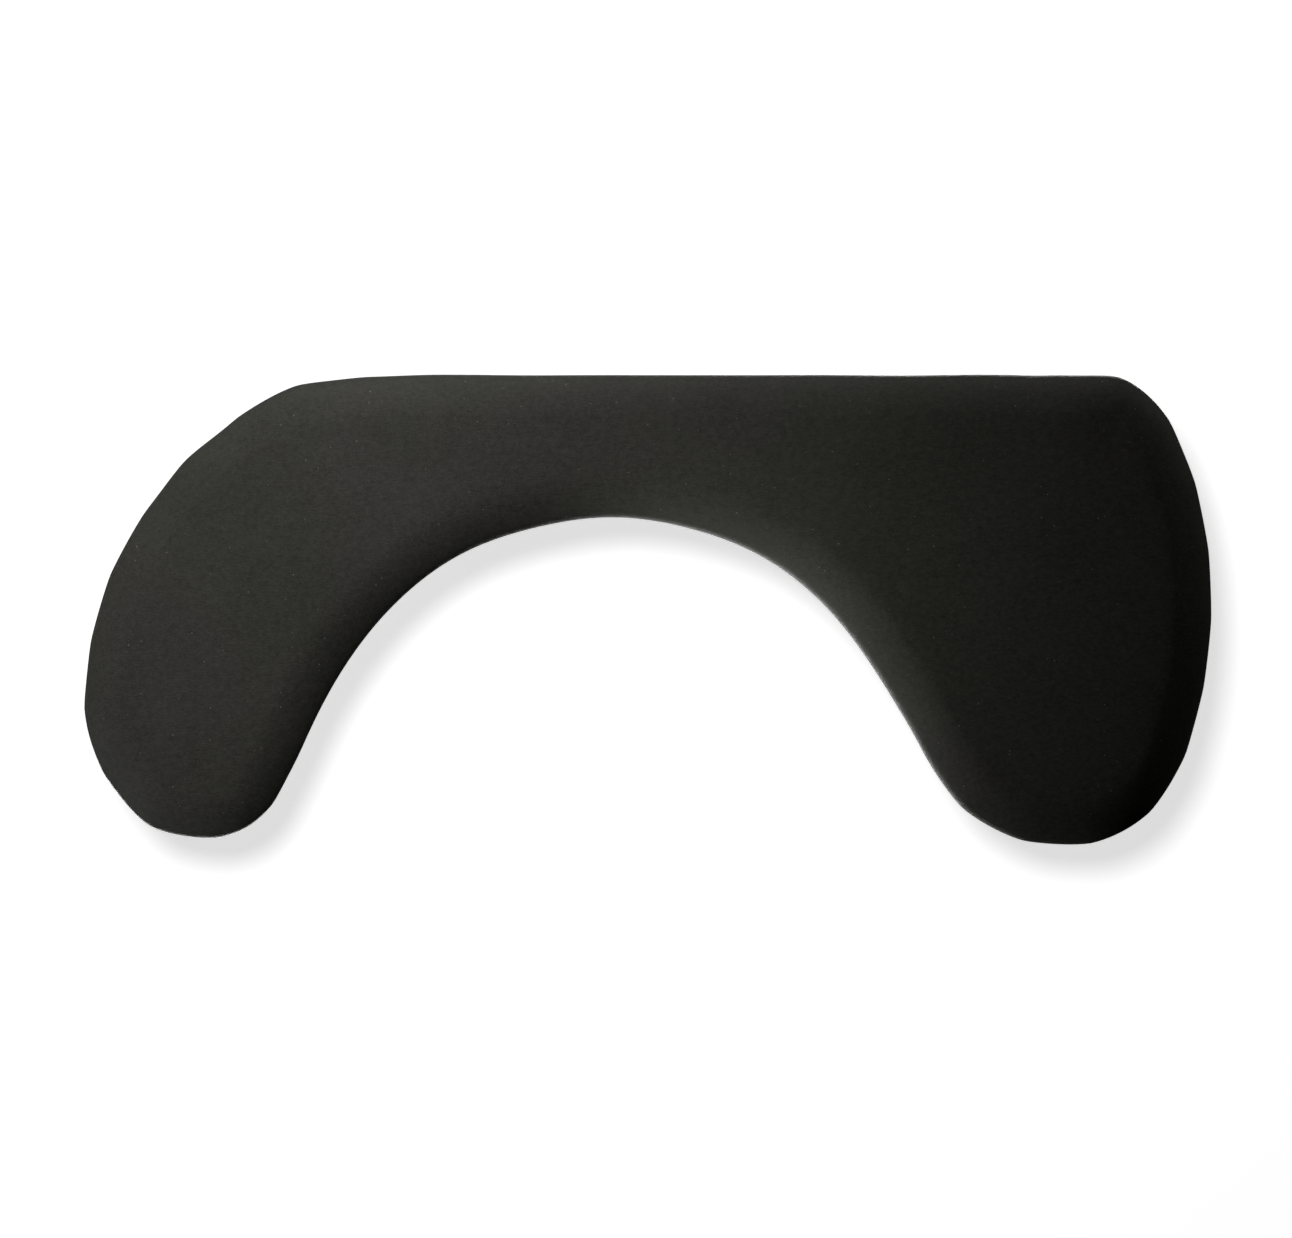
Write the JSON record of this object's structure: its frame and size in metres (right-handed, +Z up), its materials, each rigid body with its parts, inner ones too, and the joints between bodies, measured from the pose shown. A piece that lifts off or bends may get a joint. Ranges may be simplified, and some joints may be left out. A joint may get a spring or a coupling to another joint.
{
  "type": "desk-edge forearm support",
  "caption": "Upholstered board with a torso cut-out and two forearm lobes, held to a desk's edge by screw clamps with knobs and swivelling feet.",
  "frame": {"origin": "centre of the middle grip strip's underside, which lies on the desk top", "axes": "+Z up off the desk top, +Y across the desk away from the user, +X to the user's right along the desk's edge"},
  "size_m": [0.6894, 0.2871, 0.0918],
  "materials": {
    "cover_fabric": "matt black stretch fabric",
    "foam": "open-cell foam",
    "core_board": "raw plywood",
    "liner_fabric": "black non-woven",
    "powder_coat": "satin black powder coat",
    "zinc_plated": "zinc plated",
    "bright_steel": "machined",
    "rubber": "matt",
    "knob_plastic": "fine moulded texture"
  },
  "bodies": {
    "support": {"cover": "cover_fabric", "foam_pad": "foam", "core_board": "core_board", "dust_liner": "liner_fabric", "grip_strip_middle": "rubber", "grip_strip_left": "rubber", "clamp_bracket_left": "powder_coat", "bracket_screw_left_1": "zinc_plated", "tee_nut_left_1": "zinc_plated", "bracket_screw_left_2": "zinc_plated", "tee_nut_left_2": "zinc_plated", "bracket_screw_left_3": "zinc_plated", "tee_nut_left_3": "zinc_plated", "bracket_screw_left_4": "zinc_plated", "tee_nut_left_4": "zinc_plated", "threaded_bush_left": "zinc_plated", "grip_strip_right": "rubber", "clamp_bracket_right": "powder_coat", "bracket_screw_right_1": "zinc_plated", "tee_nut_right_1": "zinc_plated", "bracket_screw_right_2": "zinc_plated", "tee_nut_right_2": "zinc_plated", "bracket_screw_right_3": "zinc_plated", "tee_nut_right_3": "zinc_plated", "bracket_screw_right_4": "zinc_plated", "tee_nut_right_4": "zinc_plated", "threaded_bush_right": "zinc_plated"},
    "ball_left": {"ball_tip_left": "bright_steel"},
    "screw_left": {"spindle_left": "bright_steel", "knob_left": "knob_plastic", "knob_cap_left": "knob_plastic"},
    "foot_left": {"foot_cup_left": "zinc_plated", "foot_pad_left": "rubber"},
    "ball_right": {"ball_tip_right": "bright_steel"},
    "screw_right": {"spindle_right": "bright_steel", "knob_right": "knob_plastic", "knob_cap_right": "knob_plastic"},
    "foot_right": {"foot_cup_right": "zinc_plated", "foot_pad_right": "rubber"}
  },
  "joints": [
    {"name": "screw_travel_left", "type": "slide", "parent": "support", "child": "ball_left", "axis": [0, 0, 1], "range_m": [-0.016, 0]},
    {"name": "knob_turn_left", "type": "hinge", "parent": "ball_left", "child": "screw_left", "pos_m": [-0.19, 0, -0.03], "axis": [0, 0, 1], "range_deg": [-1920, 0]},
    {"name": "foot_tilt_left", "type": "hinge", "parent": "ball_left", "child": "foot_left", "pos_m": [-0.19, 0, -0.0213], "axis": [1, 0, 0], "range_deg": [-5, 5]},
    {"name": "screw_travel_right", "type": "slide", "parent": "support", "child": "ball_right", "axis": [0, 0, 1], "range_m": [-0.016, 0]},
    {"name": "knob_turn_right", "type": "hinge", "parent": "ball_right", "child": "screw_right", "pos_m": [0.19, 0, -0.03], "axis": [0, 0, 1], "range_deg": [-1920, 0]},
    {"name": "foot_tilt_right", "type": "hinge", "parent": "ball_right", "child": "foot_right", "pos_m": [0.19, 0, -0.0213], "axis": [1, 0, 0], "range_deg": [-5, 5]}
  ],
  "couplings": [
    {"joint": "knob_turn_left", "follows": "screw_travel_left", "rad_per_m": 2094.4},
    {"joint": "knob_turn_right", "follows": "screw_travel_right", "rad_per_m": 2094.4}
  ]
}
